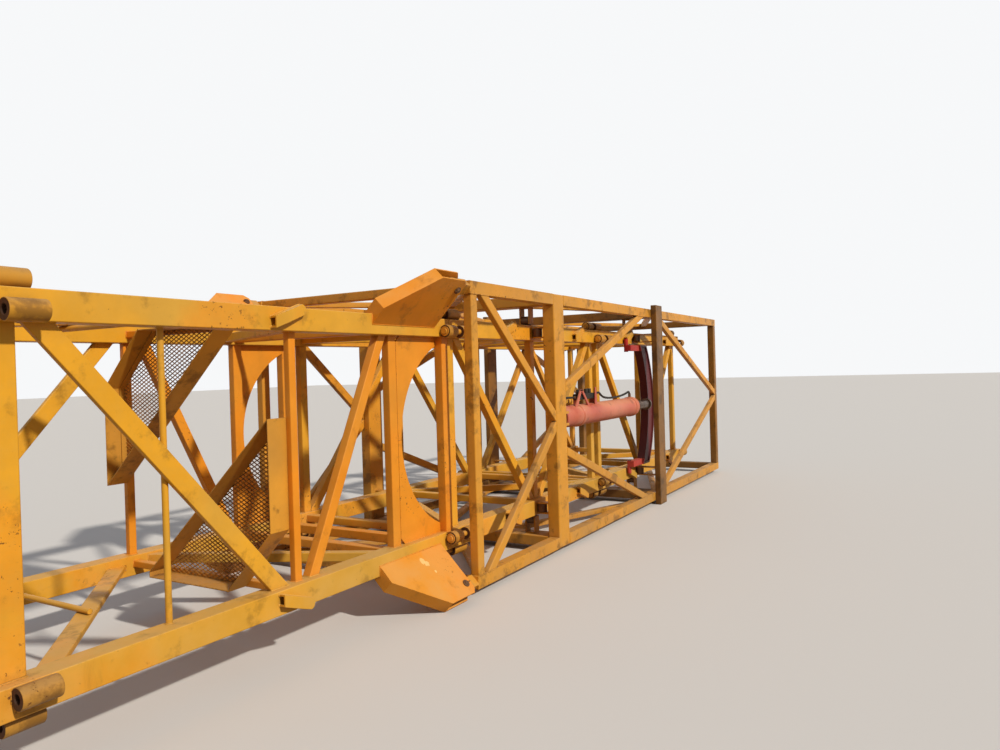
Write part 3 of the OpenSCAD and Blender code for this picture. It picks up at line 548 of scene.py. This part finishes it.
def onArch(middle, normal):
    inside = beamShape["archStart"] < middle.x < beamShape["archEnd"] and abs(middle.z) < beamShape["archHalf"]
    return inside and abs(normal.y) > 0.99


secondFinish = {"head_bolt_sleeves": (inBore, "bore_rust"), "mast_1_bolt_sleeves": (inBore, "bore_rust"),
                "mast_2_bolt_sleeves": (inBore, "bore_rust"), "crossbeam": (onHook, "red_hook"),
                "head_side_braces": (lambda middle, normal: middle.x > freshStart, "fresh_paint"),
                "toe_boards": (lambda middle, normal: middle.z < dustyTop, "dusty_paint")}


def paintChosen(piece, wanted, material):
    piece.data.materials.append(finish[material])
    pick(piece)
    bpy.ops.object.mode_set(mode="EDIT")
    chooseFaces(piece, wanted)
    piece.active_material_index = len(piece.data.materials) - 1
    bpy.ops.object.material_slot_assign()
    bpy.ops.object.mode_set(mode="OBJECT")


def flangeBeam(piece):
    # the two broad faces of the arch sink between its flanges
    pick(piece)
    bpy.ops.object.mode_set(mode="EDIT")
    chooseFaces(piece, onArch)
    bpy.ops.mesh.inset(thickness=beamShape["flange"], depth=0.0)
    bpy.ops.mesh.inset(thickness=beamShape["draft"], depth=-beamShape["sink"])
    bpy.ops.object.mode_set(mode="OBJECT")


def dressSteel():
    for nodeName, (width, segments) in roundings.items():
        piece = copyNode(nodeName, nodeName + "_worked")
        if nodeName == "crossbeam":
            flangeBeam(piece)
        roundEdges(piece, width, segments)
        slotName = repainted.get(nodeName, slotOf[nodeName])
        settle(piece, bodyOf[nodeName], slotName, otherCoat.get(nodeName, slotName))
        if nodeName in secondFinish:
            paintChosen(piece, *secondFinish[nodeName])
        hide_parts(nodeName)


# weld beads where a piece stands on the next one; a plane is an axis and its distance from the tower axis

weld = {"bead": 0.0055, "reach": 0.0016}
mastInner, mastOuter, cageInner = 0.758, 0.9, 1.075
insideMast = [("y", mastInner), ("z", mastInner)]
outsideMast = [("y", mastOuter), ("z", mastOuter)]
seams = {
    "head_end_frame": insideMast, "head_mid_frame": insideMast, "head_flare_frame": insideMast,
    "head_side_braces": [("z", mastInner)], "head_plan_braces": [("y", mastInner)],
    "arched_gussets": [("z", mastInner)], "corner_ears": outsideMast, "head_bolt_sleeves": outsideMast,
    "head_climbing_lugs": [("y", mastOuter)], "head_stay_tubes": insideMast,
    "mast_1_posts": insideMast, "mast_1_braces": insideMast, "mast_1_bolt_sleeves": outsideMast,
    "mast_1_climbing_lugs": [("y", mastOuter)],
    "mast_2_posts": insideMast, "mast_2_braces": insideMast, "mast_2_bolt_sleeves": outsideMast,
    "mast_2_climbing_lugs": [("y", mastOuter)],
    "cage_head_frame": [("y", cageInner), ("z", cageInner)],
    "cage_side_braces": [("z", cageInner)], "cage_plan_braces": [("y", cageInner)],
    "cage_splice_rails": [("y", cageInner)],
}


def weldSeams(nodeName, planes):
    piece = copyNode(nodeName, nodeName + "_welds")

    def onSeam(middle, normal):
        for axis, distance in planes:
            i = "xyz".index(axis)
            if abs(normal[i]) > 0.999 and abs(abs(middle[i]) - distance) < weld["reach"]:
                return True
        return False

    pick(piece)
    bpy.ops.object.mode_set(mode="EDIT")
    found = chooseFaces(piece, onSeam)
    if found == 0:
        print("no seam on", nodeName)
        bpy.ops.object.mode_set(mode="OBJECT")
        bpy.ops.object.delete()
        return
    bpy.ops.mesh.select_all(action="INVERT")
    bpy.ops.mesh.delete(type="FACE")
    bpy.ops.mesh.select_all(action="SELECT")
    bpy.ops.mesh.delete(type="ONLY_FACE")
    bpy.ops.object.mode_set(mode="OBJECT")
    bpy.ops.object.convert(target="CURVE")
    bead = bpy.context.object
    bead.data.bevel_depth = weld["bead"]
    bead.data.bevel_resolution = 1
    bead.data.use_fill_caps = True
    bpy.ops.object.convert(target="MESH")
    bead = bpy.context.object
    bead.name = nodeName + "_welds"
    bpy.ops.object.shade_smooth_by_angle(angle=math.radians(edgeAngle["bead"]))
    settle(bead, bodyOf[nodeName], slotOf[nodeName])


for nodeName, planes in seams.items():
    weldSeams(nodeName, planes)
print("welds laid")
dressSteel()
print("steel rounded")


# turned pieces: a profile of distances and radii along X, drawn out of a disc

def turned(name, profile, sides):
    pick(scene.camera)
    x, radius = profile[0]
    bpy.ops.mesh.primitive_circle_add(vertices=sides, radius=radius, fill_type="NGON", location=(x, 0, 0),
                                      rotation=(0, math.radians(90), 0))
    piece = bpy.context.object
    piece.name = name
    bpy.ops.object.transform_apply(location=True, rotation=True, scale=True)
    bpy.ops.object.mode_set(mode="EDIT")
    bpy.ops.mesh.select_mode(type="FACE")
    bpy.ops.mesh.select_all(action="SELECT")
    for nextX, nextRadius in profile[1:]:
        bpy.ops.mesh.extrude_region_move(TRANSFORM_OT_translate={"value": (nextX - x, 0, 0)})
        grow = nextRadius / radius
        bpy.ops.transform.resize(value=(1, grow, grow), center_override=(nextX, 0, 0))
        x, radius = nextX, nextRadius
    bpy.ops.mesh.select_all(action="SELECT")
    bpy.ops.mesh.normals_make_consistent(inside=False)
    bpy.ops.object.mode_set(mode="OBJECT")
    bpy.ops.object.shade_smooth_by_angle(angle=math.radians(edgeAngle["turned"]))
    return piece


def move(piece, matrix):
    pick(piece)
    piece.matrix_world = matrix
    bpy.ops.object.transform_apply(location=True, rotation=True, scale=True)


def repeat(piece, name, matrices):
    # one modelled piece, copied to each place and joined
    made = []
    for matrix in matrices:
        pick(piece)
        bpy.ops.object.duplicate()
        twin = bpy.context.object
        move(twin, matrix)
        made.append(twin)
    pick(piece)
    bpy.ops.object.delete()
    pick(*made)
    bpy.ops.object.join()
    whole = bpy.context.object
    whole.name = name
    return whole


def around(face, offset=0.0):
    # turns a place on the near face to another face of the tower
    return Matrix.Translation(at(0, 0, 0)) @ Matrix.Rotation(math.radians(90 * face + offset), 4, "X")


def shifted(x, y, z):
    return Matrix.Translation(Vector((x, y, z)))


# expanded metal of the rest platforms

# its corner and size are of the panel before it is cut to the outline, which is in Y and Z
floorMetal = {"x": 1.7185, "cell": (0.0520, 0.0270), "strand": 0.0070, "thick": 0.0022, "tilt": 24, "overlap": 1.06,
              "corner": (-0.80, -0.84), "size": (1.16, 1.08),
              "outline": [(-0.792, 0.236), (-0.792, -0.435), (-0.398, -0.828), (0.358, -0.828), (0.358, -0.79)]}


def addExpandedMetal():
    wide, high = floorMetal["cell"]
    strands = []
    length = math.hypot(wide / 2, high / 2)
    for side in (-1, 1):
        for end in (-1, 1):
            pick(scene.camera)
            bpy.ops.mesh.primitive_plane_add(size=1)
            strand = bpy.context.object
            bpy.ops.object.mode_set(mode="EDIT")
            bpy.ops.transform.resize(value=(floorMetal["strand"], length * floorMetal["overlap"], 1))
            bpy.ops.mesh.extrude_region_move(TRANSFORM_OT_translate={"value": (0, 0, floorMetal["thick"])})
            bpy.ops.mesh.select_all(action="SELECT")
            bpy.ops.mesh.normals_make_consistent(inside=False)
            bpy.ops.object.mode_set(mode="OBJECT")
            lean = math.atan2(high * side * end, wide)
            turn = Matrix.Rotation(lean, 4, "X") @ Matrix.Rotation(math.radians(floorMetal["tilt"] + 90), 4, "Y")
            move(strand, shifted(0, side * wide / 4, end * high / 4) @ turn)
            strands.append(strand)
    pick(*strands)
    bpy.ops.object.join()
    panel = bpy.context.object
    columns, rows = (int(size / step) + 2 for size, step in zip(floorMetal["size"], (wide, high)))
    for count, step, label in ((columns, (0, wide, 0), "columns"), (rows, (0, 0, high), "rows")):
        series = panel.modifiers.new(label, "ARRAY")
        series.use_relative_offset = False
        series.use_constant_offset = True
        series.constant_offset_displace = step
        series.count = count
        bpy.ops.object.modifier_apply(modifier=label)
    move(panel, Matrix.Translation(at(floorMetal["x"], *floorMetal["corner"])))
    points = floorMetal["outline"]
    middle = [sum(values) / len(points) for values in zip(*points)]
    bpy.ops.object.mode_set(mode="EDIT")
    for i, (y, z) in enumerate(points):
        y2, z2 = points[(i + 1) % len(points)]
        out = Vector((0, z2 - z, y - y2)).normalized()
        if out.dot(Vector((0, middle[0] - y, middle[1] - z))) > 0:
            out = -out
        bpy.ops.mesh.select_all(action="SELECT")
        bpy.ops.mesh.bisect(plane_co=at(0, y, z), plane_no=out, clear_outer=True)
        bpy.ops.mesh.select_all(action="SELECT")
        bpy.ops.mesh.fill_holes(sides=8)  # each cut strand is closed by itself
    bpy.ops.object.mode_set(mode="OBJECT")
    bpy.ops.object.duplicate()
    second = bpy.context.object
    over = Matrix.Translation(at(0, 0, 0)) @ Matrix.Rotation(math.pi, 4, "X") @ Matrix.Translation(-at(0, 0, 0))
    move(second, over)
    pick(panel, second)
    bpy.ops.object.join()
    panel = bpy.context.object
    panel.name = "expanded_metal_floors"
    settle(panel, "structure", "mesh_steel")
    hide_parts("rest_platform_mesh")


addExpandedMetal()
print("expanded metal cut")


# ends of the long bolts, and keepers on the ears' pins

boltEnd = {"joints": (3.36, 6.36), "face": 0.273, "core": 0.0225, "length": 0.009, "washer": (0.043, 0.006),
           "washerBack": 0.028}
keeper = {"pin": (3.10, 1.5896), "plate": 0.052, "ring": 0.029, "thick": 0.009, "stub": 0.019,
          "cotter": (0.011, 0.0022)}


def addBoltEnds():
    core, reach = boltEnd["core"], boltEnd["length"]
    root = core - 0.0014  # between the threads
    end = turned("boltEnd", [(-0.004, core), (0.002, core), (0.003, root), (0.0045, core), (0.006, root),
                             (0.0072, core), (reach, core - 0.002)], 24)
    far, near = boltHole["centre"]
    places = []
    for joint in boltEnd["joints"]:
        for face in range(4):
            for side in (-1, 1):
                places.append(around(face) @ shifted(joint + boltEnd["face"], -far, side * near))
    ends = repeat(end, "bolt_ends", places)
    settle(ends, "structure", "bare_steel")
    radius, thick = boltEnd["washer"]
    washer = turned("washer", [(0, radius - 0.001), (0.001, radius), (thick - 0.001, radius),
                               (thick, radius - 0.001)], 40)
    places = [m @ shifted(-boltEnd["washerBack"], 0, 0) for m in places]
    washers = repeat(washer, "bolt_washers", places)
    settle(washers, "structure", "bare_steel", "bore_rust")


def addKeepers():
    ring, thick, stub = keeper["ring"], keeper["thick"], keeper["stub"]
    disc = turned("keeper", [(0, ring - 0.002), (0.002, ring), (thick - 0.002, ring), (thick, ring - 0.002),
                             (thick, 0.020), (thick + 0.001, 0.019), (stub - 0.003, 0.017), (stub, 0.014)], 40)
    along, out = keeper["pin"]
    places = []
    for corner in range(4):
        for side in (-1, 1):
            outward = Matrix.Rotation(math.radians(90 * side), 4, "Z")
            places.append(around(corner, -45) @ shifted(along, side * keeper["plate"], -out) @ outward)
    keepers = repeat(disc, "ear_pin_keepers", places)
    settle(keepers, "structure", "bare_steel")
    pick(scene.camera)
    loop, wire = keeper["cotter"]
    bpy.ops.mesh.primitive_torus_add(major_radius=loop, minor_radius=wire, major_segments=16, minor_segments=8)
    split = bpy.context.object
    bpy.ops.object.mode_set(mode="EDIT")
    bpy.ops.transform.resize(value=(1, 2.4, 1))
    bpy.ops.object.mode_set(mode="OBJECT")
    bpy.ops.object.shade_smooth()
    splits = repeat(split, "ear_pin_cotters", [m @ shifted(stub - 0.006, 0.012, 0) for m in places])
    settle(splits, "structure", "bare_steel")


addBoltEnds()
addKeepers()
print("bolts and keepers ready")


# cylinder: full barrel with its collars, valve gear, hoses

ram = {"y": -1.002, "start": 5.081, "end": 7.081, "radius": 0.108, "collar": 0.117}
gear = {"plate": 0.012, "near": 0.058, "foot": 0.085, "top": 0.262, "cap": 0.206,
        "spools": (5.54, 5.62, 5.74, 5.82)}


def addBarrel():
    r, c = ram["radius"], ram["collar"]
    a, b = ram["start"], ram["end"]
    barrel = turned("cylinder_tube", [
        (a, 0.072), (a, r - 0.014), (a + 0.010, r - 0.004), (a + 0.20, r - 0.004), (a + 0.205, r - 0.001),
        (a + 0.37, r - 0.001), (a + 0.374, c - 0.004), (a + 0.380, c), (a + 0.418, c), (a + 0.424, c - 0.004),
        (a + 0.428, r), (b - 0.115, r), (b - 0.111, c - 0.002), (b - 0.107, c), (b - 0.030, c), (b - 0.026, c - 0.004),
        (b - 0.026, r - 0.010), (b - 0.004, r - 0.012), (b, r - 0.018), (b, 0.062)], 72)
    move(barrel, Matrix.Translation(at(0, ram["y"], 0)))
    settle(barrel, "cylinder", "red_paint")
    stud = turned("glandBolt", [(0, 0.012), (0.009, 0.012), (0.011, 0.0105)], 6)
    places = []
    for i in range(10):
        spin = Matrix.Rotation(math.radians(36 * i + 12), 4, "X")
        places.append(Matrix.Translation(at(0, ram["y"], 0)) @ spin @ shifted(b - 0.001, 0.076, 0))
    studs = repeat(stud, "gland_bolts", places)
    settle(studs, "cylinder", "bare_steel")


def plateFrom(name, points, thick):
    # a flat plate in the XZ plane: a disc whose corners are drawn to their places, then thickened
    pick(scene.camera)
    bpy.ops.mesh.primitive_circle_add(vertices=len(points), radius=0.1, fill_type="NGON")
    plate = bpy.context.object
    plate.name = name
    bpy.ops.object.mode_set(mode="EDIT")
    bpy.ops.mesh.select_mode(type="VERT")
    for i, (x, z) in enumerate(points):
        bpy.ops.mesh.select_all(action="DESELECT")
        shape = bmesh.from_edit_mesh(plate.data)
        shape.verts.ensure_lookup_table()
        shape.verts[i].select_set(True)
        shape.select_flush_mode()
        step = Vector((x, 0, z)) - shape.verts[i].co
        bpy.ops.transform.translate(value=step)
    bpy.ops.mesh.select_mode(type="FACE")
    bpy.ops.mesh.select_all(action="SELECT")
    bpy.ops.mesh.extrude_region_move(TRANSFORM_OT_translate={"value": (0, thick, 0)})
    bpy.ops.mesh.select_all(action="SELECT")
    bpy.ops.mesh.normals_make_consistent(inside=False)
    bpy.ops.object.mode_set(mode="OBJECT")
    return plate


def addValveGear():
    # two legs that lean together, the bar on their tops, and one more leg
    foot, top = gear["foot"], gear["top"]
    outlines = ([(5.345, foot), (5.400, foot), (5.520, top), (5.478, top)],
                [(5.665, foot), (5.715, foot), (5.535, top), (5.496, top)],
                [(5.470, top - 0.018), (5.545, top - 0.018), (5.545, top), (5.470, top)],
                [(5.842, 0.070), (5.902, 0.070), (5.884, top + 0.012), (5.856, top + 0.012)])
    legs = []
    for points in outlines:
        leg = plateFrom("valveLeg", points, gear["plate"])
        move(leg, Matrix.Translation(at(0, ram["y"] - gear["near"], 0)))
        legs.append(leg)
    pick(*legs)
    bpy.ops.object.join()
    bracket = bpy.context.object
    bracket.name = "valve_bracket_plates"
    roundEdges(bracket, 0.002, 2)
    settle(bracket, "cylinder", "red_paint")
    cap = turned("spoolCap", [(0, 0.026), (0.012, 0.026), (0.012, 0.021), (0.05, 0.021), (0.056, 0.018)], 24)
    places = []
    for x in gear["spools"]:
        upright = Matrix.Rotation(math.radians(-90), 4, "Y")
        places.append(Matrix.Translation(at(x, ram["y"], gear["cap"])) @ upright)
    caps = repeat(cap, "valve_spools", places)
    settle(caps, "cylinder", "black_rubber")


hose = {"radius": 0.012, "sway": 0.012,
        "toRod": [(5.895, 0.180), (5.96, 0.182), (6.01, 0.205), (6.06, 0.214), (6.13, 0.190), (6.22, 0.150),
                  (6.32, 0.136), (6.50, 0.133), (6.68, 0.136), (6.84, 0.150), (6.94, 0.176), (6.99, 0.182),
                  (7.016, 0.166), (7.021, 0.140), (7.021, 0.112)],
        "toBase": [(5.487, 0.180), (5.42, 0.182), (5.32, 0.188), (5.22, 0.186), (5.165, 0.172), (5.144, 0.146),
                   (5.141, 0.112)]}


def addHoses():
    tubes = []
    for key in ("toRod", "toBase"):
        pick(scene.camera)
        bpy.ops.curve.primitive_nurbs_path_add()
        run = bpy.context.object
        points = hose[key]
        line = run.data.splines[0]
        line.points.add(len(points) - len(line.points))
        for i, (x, z) in enumerate(points):
            sway = hose["sway"] * math.sin(i * 1.7) if 2 < i < len(points) - 4 else 0.0
            line.points[i].co = (*at(x, ram["y"] + sway, z), 1)
        line.order_u = 4
        line.use_endpoint_u = True
        line.resolution_u = 8
        run.data.bevel_depth = hose["radius"]
        run.data.bevel_resolution = 3
        run.data.use_fill_caps = True
        bpy.ops.object.convert(target="MESH")
        tubes.append(bpy.context.object)
    pick(*tubes)
    bpy.ops.object.join()
    pair = bpy.context.object
    pair.name = "hydraulic_hoses_worked"
    bpy.ops.object.shade_smooth()
    settle(pair, "cylinder", "black_rubber")
    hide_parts("hydraulic_hoses")
    ferrule = turned("ferrule", [(0, 0.0165), (0.004, 0.018), (0.012, 0.018), (0.014, 0.0150), (0.018, 0.0150),
                                 (0.020, 0.0165), (0.046, 0.0165), (0.050, 0.0135)], 24)
    up = Matrix.Rotation(math.radians(-90), 4, "Y")
    back = Matrix.Rotation(math.radians(180), 4, "Z")
    places = []
    for x, z, turn in ((5.900, 0.180, Matrix()), (5.482, 0.180, back), (7.021, 0.108, up), (5.141, 0.100, up)):
        places.append(Matrix.Translation(at(x, ram["y"], z)) @ turn)
    fittings = repeat(ferrule, "hose_fittings", places)
    settle(fittings, "cylinder", "bare_steel")


addBarrel()
addValveGear()
addHoses()
print("cylinder dressed")
